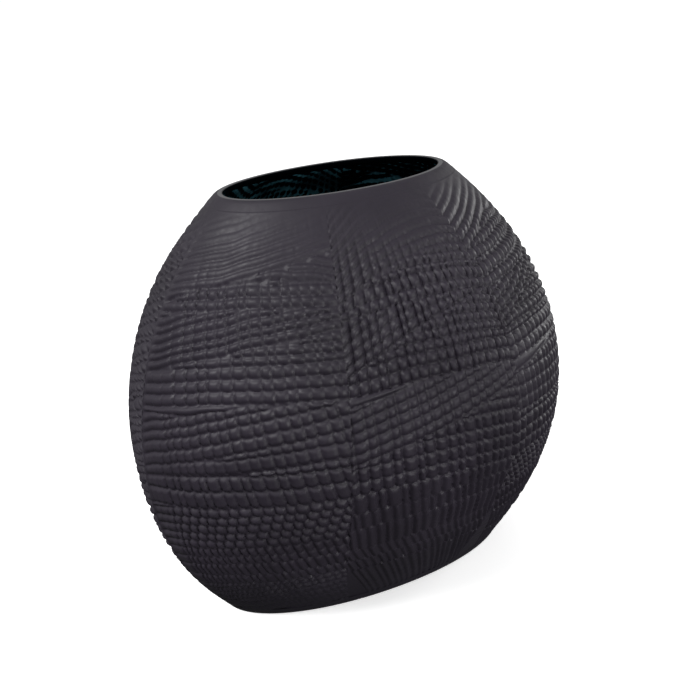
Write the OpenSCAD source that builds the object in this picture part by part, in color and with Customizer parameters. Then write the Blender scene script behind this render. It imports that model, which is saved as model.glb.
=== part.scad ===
// Flattened oval vase in fired black clay.
// Six pieces of clay: a floor slab, a moulded front and back, a narrow strip up each side, and a rim coil.
// Millimetres, +Z up, origin at the middle of the face that it stands on, front towards -Y.

/* [Height] */
// Height from the standing face to the top of the rim
height = 282; // [200:1:420]
// Height of the rim coil
rim_h = 5; // [3:0.5:20]

/* [Width, left to right] */
// Width at the foot
foot_w = 213; // [160:1:300]
// Width a quarter of the way up
low_w = 287; // [220:1:380]
// Width halfway up
belly_w = 298; // [230:1:390]
// Width three quarters of the way up
shoulder_w = 260; // [200:1:350]
// Width of the mouth over the rim
mouth_w = 150; // [100:1:220]

/* [Depth, front to back] */
// Depth at the foot
foot_d = 92; // [70:1:140]
// Depth a quarter of the way up to the rim coil
low_d = 173; // [110:1:230]
// Depth halfway up
belly_d = 221; // [150:1:290]
// Depth three quarters of the way up
shoulder_d = 196; // [120:1:250]
// Depth of the mouth over the rim
mouth_d = 90; // [60:1:150]

/* [Clay] */
// Squareness of the oval seen from above, where 2 is a true ellipse
squareness = 2.05; // [2:0.05:3]
// Thickness of the wall, measured level
wall = 5.8; // [3:0.1:12]
// Thickness of the floor slab
floor_t = 7; // [4:0.5:16]
// Bevel around the underside of the floor slab
foot_bevel = 1.6; // [0.5:0.1:3]
// Half of the angle that each side strip covers, in degrees
strip_half_angle = 9; // [5:1:25]

/* [Hidden] */

clay = [0.17, 0.165, 0.18];
ground_clay = [0.45, 0.45, 0.46];

body_h = height - rim_h;
widths = [foot_w, low_w, belly_w, shoulder_w, mouth_w];
depths = [foot_d, low_d, belly_d, shoulder_d, mouth_d];
last_size = len(widths) - 1;

// Faces along the height of the walls, and around a shell, a side strip and a whole ring
wall_levels = 34;
shell_steps = 44;
strip_steps = 6;
ring_steps = 120;

function total(list, i = 0) = i == len(list) ? 0 : list[i] + total(list, i + 1);
function product(list, i = 0) = i == len(list) ? 1 : list[i] * product(list, i + 1);

// Share of size number i at height z, so that the outline is one smooth curve through all the sizes
function share(i, z) =
    product([for (j = [0:last_size]) if (j != i) (last_size * z / height - j) / (i - j)]);
function half_size(sizes, z) = total([for (i = [0:last_size]) sizes[i] * share(i, z)]) / 2;

// Point of the oval outline at height z and angle a, set in from the outer face by inset
function stretch(c) = sign(c) * pow(abs(c), 2 / squareness);
function oval_point(z, a, inset) = [
    (half_size(widths, z) - inset) * stretch(cos(a)),
    (half_size(depths, z) - inset) * stretch(sin(a))
];
function ring_angles(from, to, steps) = [for (i = [0:steps]) from + (to - from) * i / steps];
function ring(z, angles, inset) = [for (a = angles) concat(oval_point(z, a, inset), z)];
function flatten(lists) = [for (list = lists) each list];

// Two triangles for each four-sided patch between corner rows p and q, both starting at these numbers
function strip_faces(p, q, count) =
    flatten([for (i = [0:count - 1]) [[p + i, q + i, p + i + 1], [p + i + 1, q + i, q + i + 1]]]);

// Wall of clay between two angles, standing on the floor slab and reaching up to the rim coil
module wall_piece(from, to, steps) {
    angles = ring_angles(from, to, steps);
    n = steps + 1;
    levels = [for (k = [0:wall_levels]) floor_t + (body_h - floor_t) * k / wall_levels];
    outer = flatten([for (z = levels) ring(z, angles, 0)]);
    inner = flatten([for (z = levels) ring(z, angles, wall)]);
    inside = len(outer);
    top = wall_levels * n;
    sheets = flatten([for (k = [0:wall_levels - 1]) concat(
        strip_faces(k * n, (k + 1) * n, steps),
        strip_faces(inside + (k + 1) * n, inside + k * n, steps)
    )]);
    edges = concat(strip_faces(inside, 0, steps), strip_faces(top, inside + top, steps));
    seams = flatten([for (k = [0:wall_levels - 1]) let (p = k * n, q = p + n, r = p + steps, s = q + steps) [
        [p, inside + p, q], [q, inside + p, inside + q],
        [r, s, inside + r], [s, inside + s, inside + r]
    ]]);
    polyhedron(points = concat(outer, inner), faces = concat(sheets, edges, seams));
}

module front_shell() {
    color(clay) wall_piece(180 + strip_half_angle, 360 - strip_half_angle, shell_steps);
}

module back_shell() {
    color(clay) wall_piece(strip_half_angle, 180 - strip_half_angle, shell_steps);
}

module left_side_strip() {
    color(clay) wall_piece(180 - strip_half_angle, 180 + strip_half_angle, strip_steps);
}

module right_side_strip() {
    color(clay) wall_piece(-strip_half_angle, strip_half_angle, strip_steps);
}

// Slab that closes the bottom, with its edge following the wall above it
module base_slab() {
    angles = [for (i = [0:ring_steps - 1]) 360 * i / ring_steps];
    levels = [[0, foot_bevel], [foot_bevel, 0], [floor_t, 0]];
    top = (len(levels) - 1) * ring_steps;
    sides = flatten([for (k = [0:len(levels) - 2], i = [0:ring_steps - 1])
        let (p = k * ring_steps, q = p + ring_steps, j = (i + 1) % ring_steps)
        [[p + i, q + i, p + j], [p + j, q + i, q + j]]]);
    underside = [for (i = [0:ring_steps - 1]) i];
    upper_side = [for (i = [ring_steps - 1:-1:0]) top + i];
    color(clay) polyhedron(
        points = flatten([for (level = levels) ring(level[0], angles, level[1])]),
        faces = concat(sides, [underside, upper_side])
    );
}

// Coil that stiffens the mouth: it carries on the line of the walls and is ground flat on top
module rim_coil() {
    angles = [for (i = [0:ring_steps - 1]) 360 * i / ring_steps];
    corners = [[body_h, 0], [height, 0], [height, wall], [body_h, wall]];
    around = [for (k = [0:3], i = [0:ring_steps - 1])
        let (p = k * ring_steps, q = (k + 1) % 4 * ring_steps, j = (i + 1) % ring_steps)
        each [[p + i, q + i, p + j], [p + j, q + i, q + j]]];
    color(ground_clay) polyhedron(
        points = flatten([for (corner = corners) ring(corner[0], angles, corner[1])]),
        faces = around
    );
}

base_slab();
front_shell();
back_shell();
left_side_strip();
right_side_strip();
rim_coil();
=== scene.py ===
import math

import bpy
import numpy as np
from mathutils import Matrix, Vector


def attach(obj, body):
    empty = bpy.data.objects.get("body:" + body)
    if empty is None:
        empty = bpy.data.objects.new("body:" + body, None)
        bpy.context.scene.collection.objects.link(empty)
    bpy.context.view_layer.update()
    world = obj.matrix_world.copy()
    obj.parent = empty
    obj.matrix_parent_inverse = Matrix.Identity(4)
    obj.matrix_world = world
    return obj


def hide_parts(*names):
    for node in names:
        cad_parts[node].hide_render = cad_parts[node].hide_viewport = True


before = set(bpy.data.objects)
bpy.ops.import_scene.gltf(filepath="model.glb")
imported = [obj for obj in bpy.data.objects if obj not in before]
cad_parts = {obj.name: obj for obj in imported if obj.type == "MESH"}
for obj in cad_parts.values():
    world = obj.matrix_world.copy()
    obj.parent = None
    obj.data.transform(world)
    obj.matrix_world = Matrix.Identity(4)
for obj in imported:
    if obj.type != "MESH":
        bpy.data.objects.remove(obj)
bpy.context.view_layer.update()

# ---------------------------------------------------------------------------------------------
# Front and back shells: two bowed halves of black clay, joined to a narrow strip at each side.
# While leather hard, the outside is cut all over with a small gouge: rows of cuts that bend
# across each third of the face, crossed by upright cuts, so that the clay stands as small pads.

MM = 0.001
squareness = 2.05
strip_half_angle = 9
level_match = 0.05
on_line, near_top = 0.01, 0.1
curve_order = 4


def node_points(*names):
    """Corners of these nodes of the frame, in millimetres."""
    rows = []
    for name in names:
        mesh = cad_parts[name].data
        corners = np.zeros(len(mesh.vertices) * 3)
        mesh.vertices.foreach_get("co", corners)
        rows.append(corners.reshape(-1, 3) / MM)
    return np.concatenate(rows)


wall_corners = node_points("front_shell", "back_shell", "left_side_strip", "right_side_strip")
levels = np.unique(np.round(wall_corners[:, 2], 2))
at_level = [wall_corners[np.abs(wall_corners[:, 2] - level) < level_match] for level in levels]
width_curve = np.polyfit(levels, [np.abs(part[:, 0]).max() for part in at_level], curve_order)
depth_curve = np.polyfit(levels, [np.abs(part[:, 1]).max() for part in at_level], curve_order)
wall_low, wall_high = levels[0], levels[-1]
rim_corners = node_points("rim_coil")
rim_top = rim_corners[:, 2].max()
on_long_axis = np.abs(rim_corners[:, 1]) < on_line
rim_ends = rim_corners[on_long_axis & (rim_corners[:, 2] > rim_top - near_top), 0]
wall = rim_ends.max() - np.abs(rim_ends).min()


def oval(angle, z, inset):
    """Points of the oval wall at these angles in degrees and heights, set in from its outside."""
    turn = np.radians(angle)
    across, along = np.cos(turn), np.sin(turn)
    half_width = np.polyval(width_curve, z) - inset
    half_depth = np.polyval(depth_curve, z) - inset
    x = half_width * np.sign(across) * np.abs(across) ** (2 / squareness)
    y = half_depth * np.sign(along) * np.abs(along) ** (2 / squareness)
    return np.stack([x, y, z + 0 * angle], -1)


mesh_step = 0.75
fine_steps = 2000


def even_angles(first, last):
    """Angles from first to last, evenly spaced in length around the belly."""
    fine = np.linspace(first, last, fine_steps)
    steps = np.linalg.norm(np.diff(oval(fine, wall_high / 2, 0), axis=0), axis=1)
    length = np.concatenate([[0], np.cumsum(steps)])
    count = int(round(length[-1] / mesh_step))
    return np.interp(np.linspace(0, length[-1], count + 1), length, fine)


def cut_profile(distance, reach, narrow=1.7):
    """How far a cut has gone down, from 1 at its middle line to 0 at its reach."""
    return np.clip(1 - distance / np.maximum(reach, 0.01), 0, 1) ** narrow


# A bundle of rows is written as: height of its lowest line at the left and the right edge of its
# third, arch of that line, height of a row, how much tighter the rows get higher up, depth of
# the row cuts, depth of the upright cuts, and the set of upright cuts that crosses it.
# A set of upright cuts is: width of a pad at the left and the right edge in degrees, lean in
# degrees for each millimetre down, how far every second row is shifted in pads, strength of the
# cuts at the right edge for 1 at the left, and how narrow they are: hollow flutes below 1.
left_third = {
    "from": 205, "to": 252, "left_reach": 0.42, "right_reach": 0.5,
    "bundles": [
        (241, 257, 0, 4.2, 0, 0.85, 0.5, 0),
        (240, 241.5, 5, 4.0, 0, 0.9, 0.9, 0),
        (229.5, 230.5, 2.5, 5.6, 0, 1.2, 1.4, 0),
        (202, 219, 2.5, 4.9, 0, 1.2, 1.3, 0),
        (199.5, 203.5, 2.5, 5.0, 0, 1.1, 1.2, 1),
        (178, 182, 3.6, 7.1, 0, 1.2, 1.2, 1),
        (174, 192, 0, 20, 0, 0.9, 0.1, 1),
        (143, 166, 2, 9.2, 0.01, 1.1, 1.0, 2),
        (134, 148, 2, 9.2, 0, 1.0, 0.9, 2),
        (112, 118.5, 2.5, 11, 0, 1.3, 1.1, 2),
        (77, 84, 3, 6.6, 0, 1.2, 1.3, 3),
        (61, 68, 3, 8.0, 0, 1.0, 1.3, 4),
        (50, 56, 1.5, 12, 0, 1.2, 1.2, 4),
        (40, 47, 1.5, 10, 0, 1.1, 1.0, 4),
        (18, 37, 0, 5.5, 0, 1.4, 0.8, 4),
        (-6, 8, 0, 7.0, 0, 1.2, 0.5, 4),
    ],
    "uprights": [
        (4.6, 3.0, 0.12, 0, 0.35, 1.7),
        (4.5, 2.6, 0.07, 0, 0.5, 1.7),
        (3.3, 3.0, 0.12, 0, 1, 1.7),
        (3.4, 2.6, 0.12, 0.5, 1, 1.7),
        (2.7, 2.4, 0.13, 0, 1, 1.2),
    ],
}
middle_third = {
    "from": 252, "to": 297, "left_reach": 0.35, "right_reach": 0.5,
    "bundles": [
        (230, 247, 9, 4.7, 0, 1.2, 1.2, 0),
        (236, 236.5, 6, 4.7, 0, 1.2, 1.2, 0),
        (226.5, 227.5, 5.2, 6.7, 0, 1.4, 1.5, 0),
        (222, 222, 4.5, 5.3, 0, 1.3, 1.4, 0),
        (193, 221.5, 7.3, 5.3, 0, 1.3, 1.4, 1),
        (200, 196.5, 6.5, 5.2, 0, 1.2, 1.3, 1),
        (182, 177.5, 4.8, 6.9, 0, 1.3, 1.3, 1),
        (177.5, 196, 0, 20, 0, 0.9, 0.2, 1),
        (141, 166, 0, 6.7, 0, 1.0, 0.9, 2),
        (149, 145.5, 7, 7.0, 0, 1.0, 0.9, 2),
        (118, 105.5, 5.2, 9.6, 0, 1.2, 1.3, 2),
        (103, 95, 4, 16, 0, 0.7, 1.3, 2),
        (88, 82, 4, 16, 0, 0.5, 1.2, 3),
        (68, 62, 3, 20, 0, 0.4, 1.2, 3),
        (56, 50, 2, 12, 0, 0.5, 1.2, 4),
        (43, 37, 3, 14, 0, 0.5, 1.2, 4),
        (0, 0, 0, 60, 0, 0, 1.1, 4),
    ],
    "uprights": [
        (3.0, 2.4, 0, 0, 1, 1.5),
        (2.7, 2.0, 0, 0, 1, 1.5),
        (2.7, 2.5, 0.04, 0, 1, 1.2),
        (2.4, 2.2, 0.06, 0, 1.2, 0.9),
        (2.2, 2.3, 0.17, 0, 1.2, 0.9),
    ],
}
right_third = {
    "from": 297, "to": 345, "left_reach": 0.35, "right_reach": 0.5,
    "bundles": [
        (241, 260, 4, 4.8, 0, 1.2, 1.0, 0),
        (236, 238, 2, 5.0, 0, 1.2, 1.2, 0),
        (226, 231, 1.5, 7.0, 0, 1.4, 1.4, 0),
        (220.5, 223.5, 1, 5.6, 0, 1.3, 1.3, 0),
        (199, 222, 3, 5.4, 0, 1.3, 1.3, 1),
        (196, 184, 5, 6.0, 0, 1.3, 1.3, 1),
        (176.5, 166, 4, 7.5, 0, 1.2, 1.0, 1),
        (168, 180, 0, 20, 0, 0.8, 0.2, 2),
        (141, 125, 3, 8.5, 0, 0.8, 1.0, 2),
        (104, 90, 4, 10.2, 0, 1.3, 1.4, 2),
        (74, 66, 3, 6.2, 0, 1.5, 1.6, 3),
        (52, 38, 2, 12, 0, 1.2, 1.5, 4),
        (28, 6, 2, 11, 0, 0.7, 1.2, 4),
        (0, 0, 0, 60, 0, 0, 1.0, 4),
    ],
    "uprights": [
        (3.0, 3.6, 0, 0, 1, 1.4),
        (3.1, 3.9, 0.03, 0, 1, 1.3),
        (2.8, 3.2, 0.05, 0, 1, 1.1),
        (2.6, 2.9, 0.1, 0.5, 1, 1.1),
        (2.4, 2.8, 0.2, 0, 1, 0.9),
    ],
}
face_thirds = [left_third, middle_third, right_third]

# How far the row cuts reach into a pad from below and above, as shares of its height, then the
# least and the greatest reach of a cut in mm.
low_reach, high_reach = 0.55, 0.42
least_low_reach, least_high_reach, widest_reach = 1.3, 1.1, 2.7
widest_low_reach = 1.2 * widest_reach

# Depths in mm of the row cuts, of the upright cuts and of the wear on top of a pad; the share of
# its height that a pad loses at its lower corners; the height in mm of a row too thin for pads,
# and how far the top row would run on past the wall.
row_depth, upright_depth, crown_depth = 1.55, 1.65, 0.3
corner_round, corner_power = 0.22, 3
thin_row, past_top = 3, 3

# The unevenness of the hand: wobble of a line in mm, how far rows and uprights stray from even
# spacing, and the least strength of an upright cut with what is added by chance. Chance comes from
# a table of dice, and the wear of a pad is read from it at another place than its strength.
line_wobble, row_spread, upright_spread = 0.35, 0.07, 0.2
least_strength, strength_spread = 0.85, 0.3
dice_rows, dice_columns = 97, 89
crown_shift = (31, 17)

# Upright cuts lean about lean_height, and get weaker towards the side strips and the rim.
lean_height = 180
upright_angles, upright_by_angle = (197.25, 201, 344, 347.75), (0.25, 1, 1, 0.25)
upright_tops, upright_by_top = (242, 258), (1, 0.2)


def uneven(phase, dice, spread):
    """Moves the whole numbers of phase a little, so that the spaces between them differ."""
    first, last = int(np.floor(phase.min())) - 1, int(np.ceil(phase.max())) + 2
    marks = np.arange(first, last)
    moved = marks + dice.uniform(-spread, spread, len(marks))
    return np.interp(phase, moved, marks)


def ripple(place, dice, size):
    """Slow hand wobble along a line of cuts."""
    waves = [np.sin(place / dice.uniform(1.5, 6) + dice.uniform(0, 6.3)) for _ in range(4)]
    return size * sum(waves) / 2


def third_relief(third, angle, z, mm_per_degree, dice):
    """Depth of the cuts in one third of a face, in millimetres."""
    start, span = third["from"], third["to"] - third["from"]
    u = (angle - start) / span
    depth = np.zeros_like(z)
    ceiling = np.full_like(z, wall_high + past_top)
    side_fade = np.interp(angle, upright_angles, upright_by_angle)
    top_fade = np.interp(z, upright_tops, upright_by_top)
    pad_dice = dice.random((dice_rows, dice_columns))
    for low_left, low_right, arch, row_h, tighten, row_cut, upright_cut, which in third["bundles"]:
        # Rows: place of each point above its row's lowest line and below the next one.
        line = low_left + (low_right - low_left) * u + 4 * arch * u * (1 - u)
        line = line + ripple(angle, dice, line_wobble)
        rise = np.maximum(z - line, 0)
        rows = uneven(rise * (1 + tighten * rise) / row_h, dice, row_spread)
        row = np.floor(rows).astype(int)
        size = row_h / (1 + 2 * tighten * rise)
        under = (rows - row) * size
        over = np.minimum((1 - rows + row) * size, np.maximum(ceiling - z, 0))
        height = under + over

        # Upright cuts: place of each point between the cuts at its left and its right.
        pad_left, pad_right, lean, shift, at_right, narrow = third["uprights"][which]
        v = np.clip((angle + lean * (z - lean_height) - start) / span, -0.5, 1.5)
        count = span * np.log1p((pad_right / pad_left - 1) * v) / (pad_right - pad_left)
        columns = uneven(count + dice.uniform(), dice, upright_spread) + shift * (row % 2)
        column = np.floor(columns).astype(int)
        width = (pad_left + (pad_right - pad_left) * v) * mm_per_degree
        past_left, to_right = (columns - column) * width, (1 - columns + column) * width
        left_reach = np.minimum(third["left_reach"] * width, widest_reach)
        right_reach = np.minimum(third["right_reach"] * width, widest_reach)
        upright = np.maximum(cut_profile(past_left, left_reach, narrow),
                             cut_profile(to_right, right_reach, narrow))
        mark = np.round(columns).astype(int)
        strength = least_strength + strength_spread * pad_dice[row % dice_rows, mark % dice_columns]
        strength = strength * (1 + (at_right - 1) * np.clip(v, 0, 1)) * side_fade * top_fade

        # The lower corners of a pad are rounded off, and too thin a row is cut right away.
        corner = np.abs(2 * (columns - column) - 1) ** corner_power
        rounding = corner_round * height * corner * np.minimum(upright_cut * strength, 1)
        under = np.maximum(under - rounding, 0)
        below = cut_profile(under, np.clip(low_reach * height, least_low_reach, widest_low_reach))
        above = cut_profile(over, np.clip(high_reach * height, least_high_reach, widest_reach))
        level = np.maximum(np.maximum(below, above), np.clip(thin_row - height, 0, 1))
        row_groove = row_depth * row_cut * level
        upright_groove = upright_depth * upright_cut * strength * upright
        worn = pad_dice[(row + crown_shift[0]) % dice_rows, (column + crown_shift[1]) % dice_columns]
        crown = crown_depth * worn * (1 - level) * (1 - upright) * side_fade
        here = (z > line) & (z <= ceiling)
        depth = np.where(here, np.hypot(row_groove, upright_groove) + crown, depth)
        ceiling = np.minimum(ceiling, line)
    return depth


# At these heights the tops of the pads stand this far out of the even wall, in mm.
standing_heights, standing_out = (7, 40, 235, 272), (-0.2, 0.55, 0.55, -0.2)


def standing(z):
    """How far the tops of the pads stand out of the even wall, less near the foot and the rim."""
    return np.interp(z, standing_heights, standing_out)


# The line down each fold between two thirds, and two long gouges below the rim, each written as
# angle, height, half its length and its slope.
fold_depth, fold_reach = 0.3, 1.5
long_gouges = [(263.5, 262, 6, 0.4), (305.5, 261.5, 5, 0.25)]
gouge_depth, gouge_half_width = 1.3, 1.8

# The share of their depth that the cuts keep, by height and by angle: they die out towards the
# foot, the rim and the side strips. The wall also sways in and out a little below the rim line.
cut_heights, kept_by_height = (0, 8, 24, 256, 268, 277), (0.1, 0.4, 1, 1, 0.5, 0)
cut_angles, kept_by_angle = (189, 191, 349, 351), (0.1, 1, 1, 0.1)
sway_depth, sway_heights = 0.1, (250, 277)


def face_relief(angle, z, mm_per_degree, seed):
    """Depth of the cuts all over one face, at angles from 189 to 351."""
    dice = np.random.default_rng(seed)
    depth = np.zeros_like(z)
    for number, third in enumerate(face_thirds):
        start = third["from"] if number else 0
        end = third["to"] if number < 2 else 360
        cut = third_relief(third, angle, z, mm_per_degree, dice)
        depth = np.where((angle >= start) & (angle < end), cut, depth)
    for third in face_thirds[1:]:
        fold = np.abs(angle - third["from"]) * mm_per_degree
        depth = np.maximum(depth, fold_depth * cut_profile(fold, fold_reach))
    depth = depth * np.interp(z, cut_heights, kept_by_height)
    depth = depth * np.interp(angle, cut_angles, kept_by_angle)
    for middle, height, half, slope in long_gouges:
        along = (angle - middle) * mm_per_degree
        across = z - height - slope * along
        gouge = cut_profile(np.hypot(along / half, across / gouge_half_width), 1)
        depth = np.maximum(depth, gouge_depth * gouge)
    sway = np.sin(angle / 7 + z / 31) + np.sin(angle / 4.1 - z / 19 + 2)
    return depth + sway_depth * sway * np.interp(z, sway_heights, (1, 0)) - standing(z)


# A wall has fine_share steps up its outside for one inside, and slant_share times as many as an
# upright wall has. Its faces go on the map in bands, each with a lowest edge and a height.
fine_share = 2
outer_band, inner_band = (0.01, 0.69), (0.71, 0.2)
under_band, upper_band, start_band, end_band = [(low, 0.012) for low in (0.92, 0.94, 0.96, 0.98)]
map_margin, map_width = 0.01, 0.98
wall_crease = 70
slant_share = 1.06
clay_faces, gloss_faces = 0, 1

# Inside, painted highlight lines follow the cuts: at any height they are those that the outside has at
# this share of the height.
painted_line_height_share = 0.93


def wall_sheet(angles, heights, inset, face_turn, relief, seed):
    """Points of one side of a wall, and the depth of the cuts there; only the outside is cut, and on
    the inside the depth only places the painted highlight lines.
    """
    angle, z = np.meshgrid(angles, heights)
    points = oval(angle, z, inset)
    by_z, by_angle = np.gradient(points, axis=(0, 1))
    normal = np.cross(by_angle, by_z)
    normal /= np.linalg.norm(normal, axis=-1, keepdims=True)
    mm_per_degree = np.linalg.norm(by_angle, axis=-1) / np.gradient(angles)
    cut_height = z if inset == 0 else z * painted_line_height_share
    depth = relief(angle + face_turn, cut_height, mm_per_degree, seed)
    if inset == 0:
        points = points - depth[..., None] * normal
    points[..., 2] = np.clip(points[..., 2], wall_low, wall_high)
    points[0, :, 2], points[-1, :, 2] = wall_low, wall_high
    return points.reshape(-1, 3), depth.reshape(-1)


def sheet_faces(rows_count, around, offset, order):
    """Four-cornered faces of one side of a wall, and their places on the map."""
    low, i = np.meshgrid(np.arange(rows_count - 1), np.arange(around - 1), indexing="ij")
    first = offset + low * around + i
    quad = np.stack([first, first + 1, first + 1 + around, first + around], -1)
    corner_u = np.stack([i, i + 1, i + 1, i], -1) / (around - 1)
    corner_v = np.stack([low, low, low + 1, low + 1], -1) / (rows_count - 1)
    places = np.stack([corner_u, corner_v], -1)
    return quad[..., order].reshape(-1, 4), places[..., order, :].reshape(-1, 4, 2)


def wall_faces(outer_rows, inner_rows, around):
    """All faces of a wall, in groups: corners, places on the map, band of the map and material."""
    inside = outer_rows * around
    outer, outer_map = sheet_faces(outer_rows, around, 0, [0, 1, 2, 3])
    inner, inner_map = sheet_faces(inner_rows, around, inside, [3, 2, 1, 0])

    # Flat strips along the foot and the top, between the two sides.
    i = np.arange(around - 1)
    top, inner_top = (outer_rows - 1) * around, inside + (inner_rows - 1) * around
    under = np.stack([inside + i, inside + i + 1, i + 1, i], -1)
    upper = np.stack([top + i, top + i + 1, inner_top + i + 1, inner_top + i], -1)
    strip_map = np.stack([np.stack([i, i + 1, i + 1, i], -1) / (around - 1),
                          np.tile([0, 0, 1, 1], (around - 1, 1))], -1)

    # Flat strips up the two ends, with two outside steps for one inside.
    k = np.arange(inner_rows - 1)
    low = k * fine_share * around
    near = inside + k * around
    start_edge = np.stack([near, low, low + around, low + 2 * around, near + around], -1)
    end_edge = np.stack([low + 2 * around, low + around, low, near, near + around], -1)
    end_edge = end_edge + around - 1
    start_map = np.stack([np.stack([k, k, k + 0.5, k + 1, k + 1], -1) / len(k),
                          np.tile([1, 0, 0, 0, 1], (len(k), 1))], -1)
    end_map = np.stack([np.stack([k + 1, k + 0.5, k, k, k + 1], -1) / len(k),
                        np.tile([0, 0, 0, 1, 1], (len(k), 1))], -1)
    return [
        (outer, outer_map, outer_band, clay_faces), (inner, inner_map, inner_band, gloss_faces),
        (under, strip_map, under_band, clay_faces), (upper, strip_map, upper_band, clay_faces),
        (start_edge, start_map, start_band, clay_faces), (end_edge, end_map, end_band, clay_faces),
    ]


def wall_piece(name, first, last, relief, seed):
    """Wall of clay between two angles, with cuts on its outside and a smooth inside."""
    angles = even_angles(first, last)
    high_steps = fine_share * int(round((wall_high - wall_low) * slant_share / mesh_step / fine_share))
    outer_z = np.linspace(wall_low, wall_high, high_steps + 1)
    inner_z = outer_z[::fine_share]
    face_turn = 180 if last < 180 else 0
    outside, outside_cut = wall_sheet(angles, outer_z, 0, face_turn, relief, seed)
    inside, painted_line_depth = wall_sheet(angles, inner_z, wall, face_turn, relief, seed)
    groups = wall_faces(len(outer_z), len(inner_z), len(angles))
    corners = np.concatenate([faces.reshape(-1) for faces, *_ in groups])
    sizes = np.concatenate([np.full(len(faces), faces.shape[1]) for faces, *_ in groups])
    kinds = np.concatenate([np.full(len(faces), kind) for faces, _, _, kind in groups])
    maps = [places.reshape(-1, 2) * [map_width, high] + [map_margin, low]
            for _, places, (low, high), _ in groups]
    points = np.concatenate([outside, inside]) * MM
    cuts = np.concatenate([outside_cut, painted_line_depth])

    mesh = bpy.data.meshes.new(name)
    mesh.vertices.add(len(points))
    mesh.vertices.foreach_set("co", points.reshape(-1))
    mesh.loops.add(len(corners))
    mesh.loops.foreach_set("vertex_index", corners)
    mesh.polygons.add(len(sizes))
    mesh.polygons.foreach_set("loop_start", np.concatenate([[0], np.cumsum(sizes)[:-1]]))
    mesh.polygons.foreach_set("material_index", kinds)
    mesh.update(calc_edges=True)
    mesh.uv_layers.new(name="OFBake").data.foreach_set("uv", np.concatenate(maps).reshape(-1))
    mesh.attributes.new("cut", "FLOAT", "POINT").data.foreach_set("value", cuts)
    mesh.polygons.foreach_set("use_smooth", np.ones(len(sizes), bool))
    mesh.set_sharp_from_angle(angle=math.radians(wall_crease))
    piece = bpy.data.objects.new(name, mesh)
    bpy.context.scene.collection.objects.link(piece)
    return piece


def new_material(name):
    """An empty node material, its nodes, and a short way to link them."""
    material = bpy.data.materials.new(name)
    material.use_nodes = True
    nodes = material.node_tree.nodes
    links = material.node_tree.links
    return material, nodes, links


def noise(nodes, links, place, scale, detail):
    """A noise pattern that sits on the clay."""
    node = nodes.new("ShaderNodeTexNoise")
    node.inputs["Scale"].default_value = scale
    node.inputs["Detail"].default_value = detail
    links.new(place, node.inputs["Vector"])
    return node.outputs["Fac"]


def spread(nodes, links, value, low, high, new_low, new_high):
    """Stretches a value from one range to another."""
    node = nodes.new("ShaderNodeMapRange")
    for number, setting in enumerate((low, high, new_low, new_high), 1):
        node.inputs[number].default_value = setting
    links.new(value, node.inputs[0])
    return node.outputs[0]


def blend_colour(nodes, links, factor, first, second):
    """Mixes two colours, each a colour or an output of another node."""
    node = nodes.new("ShaderNodeMix")
    node.data_type = "RGBA"
    links.new(factor, node.inputs[0])
    for socket, colour in ((node.inputs[6], first), (node.inputs[7], second)):
        if isinstance(colour, tuple):
            socket.default_value = (*colour, 1)
        else:
            links.new(colour, socket)
    return node.outputs[2]


def bump(nodes, links, height, strength, distance, below=None):
    """Fine surface marks, on top of the marks in below."""
    node = nodes.new("ShaderNodeBump")
    node.inputs["Strength"].default_value = strength
    node.inputs["Distance"].default_value = distance
    links.new(height, node.inputs["Height"])
    if below is not None:
        links.new(below, node.inputs["Normal"])
    return node.outputs["Normal"]


# Colours of the clay, and painted light and shade by height: painted shade darkens it towards the
# foot, painted light lifts the middle most and the shoulder up to the rim a little less.
clay_dark, clay_light = (0.0092, 0.0074, 0.0118), (0.0145, 0.0118, 0.0182)
painted_foot_shade, painted_middle_light, painted_top_light = (0.7, 0.72, 0.75), (1.38, 1.33, 1.34), (1.14, 1.11, 1.12)
foot_height, shoulder_heights = 0.07, (0.1, 0.24)


def black_clay():
    """Smoke-blackened clay: nearly black, a little violet, matt, with a fine dry grain, and painted
    shade and light by height.
    """
    material, nodes, links = new_material("black_clay")
    shader = nodes["Principled BSDF"]
    place = nodes.new("ShaderNodeTexCoord").outputs["Object"]
    split = nodes.new("ShaderNodeSeparateXYZ")
    links.new(place, split.inputs[0])
    clouds = noise(nodes, links, place, 14, 4)
    grain = noise(nodes, links, place, 900, 2)
    marks = noise(nodes, links, place, 260, 3)
    colour = blend_colour(nodes, links, spread(nodes, links, clouds, 0.35, 0.65, 0, 1),
                          clay_dark, clay_light)
    # Painted shade makes the clay darker towards the foot, and painted light makes it lighter up the
    # belly and a little less at the shoulder. Both are multiplied into the colour.
    painted_foot_mask = spread(nodes, links, split.outputs["Z"], 0, foot_height, 0, 1)
    painted_shoulder_mask = spread(nodes, links, split.outputs["Z"], *shoulder_heights, 0, 1)
    painted_height_light = blend_colour(nodes, links, painted_shoulder_mask, painted_middle_light, painted_top_light)
    painted_height_light = blend_colour(nodes, links, painted_foot_mask, painted_foot_shade, painted_height_light)
    painted_light_multiply = nodes.new("ShaderNodeMix")
    painted_light_multiply.data_type = "RGBA"
    painted_light_multiply.blend_type = "MULTIPLY"
    painted_light_multiply.inputs[0].default_value = 1
    links.new(colour, painted_light_multiply.inputs[6])
    links.new(painted_height_light, painted_light_multiply.inputs[7])
    links.new(painted_light_multiply.outputs[2], shader.inputs["Base Color"])
    links.new(spread(nodes, links, marks, 0.3, 0.7, 0.5, 0.64), shader.inputs["Roughness"])
    under = bump(nodes, links, marks, 0.25, 0.0004)
    links.new(bump(nodes, links, grain, 0.2, 0.00015, under), shader.inputs["Normal"])
    shader.inputs["Specular IOR Level"].default_value = 0.3
    return material


# The blue-black of the inside, and the blue-green of the painted highlight lines that follow the
# outside cuts.
inside_black, painted_highlight_blue = (0.0012, 0.0018, 0.003), (0.09, 0.3, 0.38)
shallow_cut, full_cut = 0.6, 1.2


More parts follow.
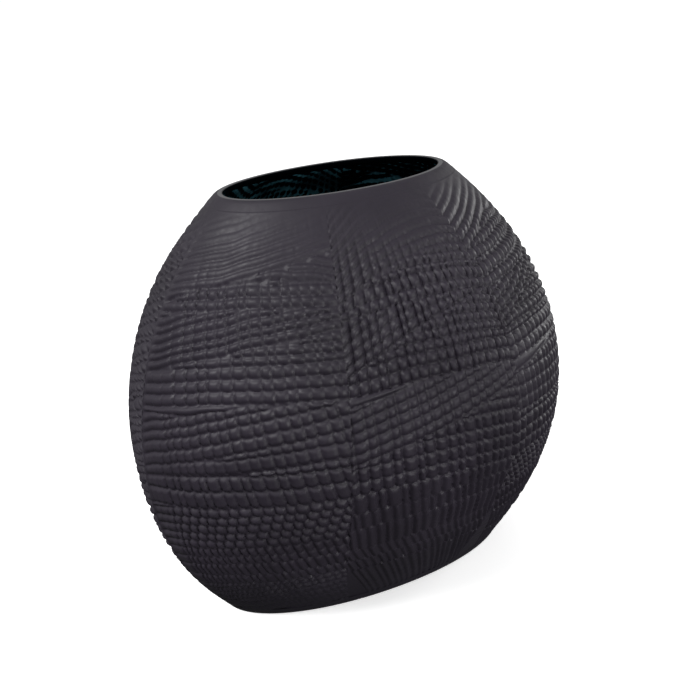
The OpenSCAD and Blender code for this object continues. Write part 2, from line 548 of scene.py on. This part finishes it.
def inside_gloss():
    """Burnished inside: blue-black and glossy, with painted highlights in thin blue-green lines where
    the cuts of the outside lie.
    """
    material, nodes, links = new_material("burnished_inside")
    shader = nodes["Principled BSDF"]
    place = nodes.new("ShaderNodeTexCoord").outputs["Object"]
    cut = nodes.new("ShaderNodeAttribute")
    cut.attribute_name = "cut"
    # Painted highlights: thin blue-green lines along the outside cuts, broken into patches by noise.
    painted_highlight_lines = spread(nodes, links, cut.outputs["Fac"], shallow_cut, full_cut, 0, 1)
    painted_highlight_patches = spread(nodes, links, noise(nodes, links, place, 40, 3), 0.4, 0.62, 0.1, 1)
    painted_highlight_mask = nodes.new("ShaderNodeMath")
    painted_highlight_mask.operation = "MULTIPLY"
    links.new(painted_highlight_lines, painted_highlight_mask.inputs[0])
    links.new(painted_highlight_patches, painted_highlight_mask.inputs[1])
    colour = blend_colour(nodes, links, painted_highlight_mask.outputs[0], inside_black, painted_highlight_blue)
    links.new(colour, shader.inputs["Base Color"])
    fine = noise(nodes, links, place, 120, 3)
    links.new(spread(nodes, links, fine, 0.3, 0.7, 0.12, 0.22), shader.inputs["Roughness"])
    links.new(bump(nodes, links, fine, 0.1, 0.0003), shader.inputs["Normal"])
    shader.inputs["Specular IOR Level"].default_value = 0.08
    return material


clay = black_clay()
inside = inside_gloss()
walls = [
    ("front_wall", 180 + strip_half_angle, 360 - strip_half_angle, face_relief, 11, "front_shell"),
    ("back_wall", strip_half_angle, 180 - strip_half_angle, face_relief, 23, "back_shell"),
]
for name, first, last, relief, seed, node in walls:
    piece = wall_piece(name, first, last, relief, seed)
    piece.data.materials.append(clay)
    piece.data.materials.append(inside)
    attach(piece, "root")
    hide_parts(node)

# ---------------------------------------------------------------------------------------------
# Side strips: a narrow strip of the same clay up each side, slipped in between the two shells.
# Its outside is covered with two sets of slanting cuts that cross, closer together than the pads.

# Pitch, depth and reach of the two sets of cuts in mm, how steeply they climb, and how uneven
# they are. They die out by height, and over the last plain_edge degrees next to the shells.
slant_pitch, slant_depth, slant_reach = 5, 2.3, 2.2
cross_pitch, cross_depth, cross_reach = 5.2, 1.8, 2.0
up_share, along_share = 0.9, 0.4
strip_wobble, slant_spread, cross_spread = 0.7, 0.2, 0.25
slant_narrow = 1.4
strip_heights, kept_on_strip = (0, 12, 30, 250, 277), (0.1, 0.3, 1, 1, 0)
plain_edge, kept_at_edge = 2, 0.1


def side_relief(angle, z, mm_per_degree, seed):
    """Two sets of slanting cuts close together all over a side strip."""
    dice = np.random.default_rng(seed)
    off_middle = angle - angle.mean()
    up, along = z * up_share, off_middle * mm_per_degree * along_share
    slant = uneven((up + along + ripple(z, dice, strip_wobble)) / slant_pitch, dice, slant_spread)
    cross = uneven((up - along + ripple(z + 50, dice, strip_wobble)) / cross_pitch, dice, cross_spread)
    slant_off = np.abs(slant - np.round(slant)) * slant_pitch
    cross_off = np.abs(cross - np.round(cross)) * cross_pitch
    first = slant_depth * cut_profile(slant_off, slant_reach, slant_narrow)
    second = cross_depth * cut_profile(cross_off, cross_reach)
    fade = np.interp(z, strip_heights, kept_on_strip)
    edge_angles = (strip_half_angle - plain_edge, strip_half_angle)
    edge_fade = np.interp(np.abs(off_middle), edge_angles, (1, kept_at_edge))
    return np.hypot(first, second) * fade * edge_fade - standing(z)


sides = [
    ("left_side", 180 - strip_half_angle, 180 + strip_half_angle, 37, "left_side_strip"),
    ("right_side", -strip_half_angle, strip_half_angle, 41, "right_side_strip"),
]
for name, first, last, seed, node in sides:
    piece = wall_piece(name, first, last, side_relief, seed)
    piece.data.materials.append(clay)
    piece.data.materials.append(inside)
    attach(piece, "root")
    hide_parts(node)

# ---------------------------------------------------------------------------------------------
# Rim coil: a coil of clay laid on the mouth to stiffen it and drawn into the line of the walls.
# Its sides are black like the body, its corners are rounded, and its top is ground flat and so a
# little paler.


def finish_piece(name, points, faces, maps, crease):
    """A smooth piece from points in millimetres, its faces and their places on the map."""
    mesh = bpy.data.meshes.new(name)
    mesh.from_pydata((points * MM).tolist(), [], faces)
    mesh.uv_layers.new(name="OFBake").data.foreach_set("uv", np.array(maps).reshape(-1))
    mesh.polygons.foreach_set("use_smooth", np.ones(len(faces), bool))
    mesh.set_sharp_from_angle(angle=math.radians(crease))
    piece = bpy.data.objects.new(name, mesh)
    bpy.context.scene.collection.objects.link(piece)
    return piece


def oval_rings(section, count):
    """Rings of points round the pot, one for each (inset, height) point of a section."""
    angle = np.arange(count) * 360 / count
    return np.concatenate([oval(angle, np.full(count, z), inset) for inset, z in section])


def ring_faces(low, high, count, map_place, map_size):
    """Faces between two rings, and their places on the map in a strip of this place and size."""
    faces, maps = [], []
    wide, tall = map_size[0] / count, map_size[1]
    for i in range(count):
        j = (i + 1) % count
        faces.append((low * count + i, low * count + j, high * count + j, high * count + i))
        u, v = i * wide, map_place
        maps += [(u, v), (u + wide, v), (u + wide, v + tall), (u, v + tall)]
    return faces, maps


def ground_lip():
    """The ground top of the rim: a little paler, with fine scratches and a few darker patches."""
    material, nodes, links = new_material("ground_lip")
    shader = nodes["Principled BSDF"]
    place = nodes.new("ShaderNodeTexCoord").outputs["Object"]
    fine = noise(nodes, links, place, 1500, 2)
    pale = blend_colour(nodes, links, noise(nodes, links, place, 60, 3), lip_dark, lip_light)
    links.new(pale, shader.inputs["Base Color"])
    links.new(spread(nodes, links, fine, 0.3, 0.7, 0.35, 0.5), shader.inputs["Roughness"])
    links.new(bump(nodes, links, fine, 0.15, 0.0001), shader.inputs["Normal"])
    return material


ring_count = 480
lip_round, rim_inset, upright_part = 1.5, 0.2, 2
lip_dark, lip_light = (0.03, 0.03, 0.033), (0.055, 0.055, 0.06)
quarter = [math.radians(turn) for turn in (0, 30, 60, 90)]
outer_corner = [(rim_inset + (1 - math.cos(t)) * lip_round, rim_top - (1 - math.sin(t)) * lip_round)
                for t in quarter]
inner_corner = [(wall - across, z) for across, z in reversed(outer_corner)]
rim_section = [(rim_inset, wall_high), (rim_inset, wall_high + upright_part),
               *outer_corner, *inner_corner, (wall, wall_high)]
side_faces, corner_faces = 2, len(quarter) - 1
finishes = [0] * (side_faces + corner_faces) + [2] + [1] * (corner_faces + side_faces)

rim_faces, rim_maps = [], []
band = 1 / len(rim_section)
for k in range(len(rim_section)):
    faces, maps = ring_faces(k, (k + 1) % len(rim_section), ring_count, k * band, (1, band))
    rim_faces += faces
    rim_maps += maps
rim = finish_piece("rim_ring", oval_rings(rim_section, ring_count), rim_faces, rim_maps, 50)
rim.data.polygons.foreach_set("material_index", np.repeat(finishes, ring_count))
for finish in (clay, inside, ground_lip()):
    rim.data.materials.append(finish)
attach(rim, "root")
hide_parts("rim_coil")

# ---------------------------------------------------------------------------------------------
# Floor slab: a slab of clay rolled out flat and cut to the oval of the foot. Its edge carries
# on the line of the walls and is rounded underneath, where the pot stands.

foot_round = 1.6
straight_from, edge_inset, joint_inset = 3.5, 0.2, 0.3
foot_turns = [math.radians(turn) for turn in (0, 22, 45, 67, 90)]
slab_section = [(foot_round * (1 - math.sin(t)), foot_round * (1 - math.cos(t))) for t in foot_turns]
slab_section += [(edge_inset, straight_from), (joint_inset, wall_low)]
slab_points = oval_rings(slab_section, ring_count)

slab_faces, slab_maps = [], []
for k in range(len(slab_section) - 1):
    faces, maps = ring_faces(k, k + 1, ring_count, 0.02 * k, (0.98, 0.02))
    slab_faces += faces
    slab_maps += maps

# One flat face below and one above close the slab. They lie side by side on the map.
half_width = np.abs(slab_points[:, :2]).max()
disc, disc_height = 0.23, 0.6
last = (len(slab_section) - 1) * ring_count
for corners, middle in ((range(ring_count - 1, -1, -1), 0.25), (range(last, last + ring_count), 0.75)):
    slab_faces.append(tuple(corners))
    slab_maps += [(middle + disc * slab_points[c][0] / half_width,
                   disc_height + disc * slab_points[c][1] / half_width) for c in corners]
slab = finish_piece("floor_slab", slab_points, slab_faces, slab_maps, 40)
slab.data.materials.append(clay)
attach(slab, "root")
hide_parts("base_slab")

# ---------------------------------------------------------------------------------------------
# Studio: a plain white table that runs out of sight in a pale room that is darker below, a soft
# light high on the left, a low one in front and a low one on the right, and the camera above the
# front and to the left. The table sends no light back to the pot, so the foot stays dark.

bpy.context.scene.view_settings.view_transform = "Standard"
table_half = 60.0
table_grey, table_white = (0.93, 0.93, 0.93), (0.96, 0.96, 0.96)
table_glow = 0.52
mesh = bpy.data.meshes.new("table_top")
mesh.from_pydata([(-table_half, -table_half, 0), (table_half, -table_half, 0),
                  (table_half, table_half, 0), (-table_half, table_half, 0)], [], [(0, 1, 2, 3)])
table = bpy.data.objects.new("table_top", mesh)
bpy.context.scene.collection.objects.link(table)
material, nodes, links = new_material("white_table")
shader = nodes["Principled BSDF"]
place = nodes.new("ShaderNodeTexCoord").outputs["Object"]
paint = blend_colour(nodes, links, noise(nodes, links, place, 3, 2), table_grey, table_white)
links.new(paint, shader.inputs["Base Color"])
shader.inputs["Roughness"].default_value = 0.8
shader.inputs["Emission Color"].default_value = (1, 1, 1, 1)
shader.inputs["Emission Strength"].default_value = table_glow
table.data.materials.append(material)
table.visible_diffuse = False
table.visible_glossy = False

dark_below, pale_above = -0.55, 0.35
dark_strength, pale_strength = 0.08, 0.57
world = bpy.data.worlds.new("pale_room")
world.use_nodes = True
nodes, links = world.node_tree.nodes, world.node_tree.links
split = nodes.new("ShaderNodeSeparateXYZ")
links.new(nodes.new("ShaderNodeTexCoord").outputs["Generated"], split.inputs[0])
glow = spread(nodes, links, split.outputs["Z"], dark_below, pale_above, dark_strength, pale_strength)
links.new(glow, nodes["Background"].inputs["Strength"])
nodes["Background"].inputs["Color"].default_value = (1, 1, 1, 1)
bpy.context.scene.world = world

aim = Vector((0, 0, rim_top / 2 * MM))


def direction(turn, rise):
    """Direction from the pot at this turn to the right of its front and this rise, in degrees."""
    turn, rise = math.radians(turn), math.radians(rise)
    return Vector((math.sin(turn) * math.cos(rise), -math.cos(turn) * math.cos(rise), math.sin(rise)))


def soft_light(name, turn, rise, distance, size, power):
    """A square soft light that looks at the pot: degrees, metres and watts."""
    lamp = bpy.data.lights.new(name, "AREA")
    lamp.size = size
    lamp.energy = power
    holder = bpy.data.objects.new(name, lamp)
    holder.location = aim + direction(turn, rise) * distance
    holder.rotation_euler = direction(turn, rise).to_track_quat("Z", "Y").to_euler()
    bpy.context.scene.collection.objects.link(holder)


soft_light("key_light", turn=-78, rise=48, distance=1.5, size=0.45, power=22)
soft_light("front_light", turn=15, rise=2, distance=1.8, size=0.6, power=24)
soft_light("right_light", turn=98, rise=9, distance=1.8, size=0.55, power=14)

camera_turn, camera_rise, camera_roll = -22.6, 24.56, -5.0
camera_distance = 0.635
camera = bpy.data.objects.new("camera", bpy.data.cameras.new("camera"))
bpy.context.scene.collection.objects.link(camera)
toward = direction(camera_turn, camera_rise)
camera.location = aim + toward * camera_distance
look = toward.to_track_quat("Z", "Y").to_matrix().to_4x4()
roll = Matrix.Rotation(math.radians(camera_roll), 4, "Z")
camera.matrix_world = Matrix.Translation(camera.location) @ look @ roll
camera.data.sensor_width = 36
camera.data.lens = 48.1
camera.data.shift_x = -0.0014
camera.data.shift_y = 0.0476
camera.data.clip_end = 30
bpy.context.scene.camera = camera
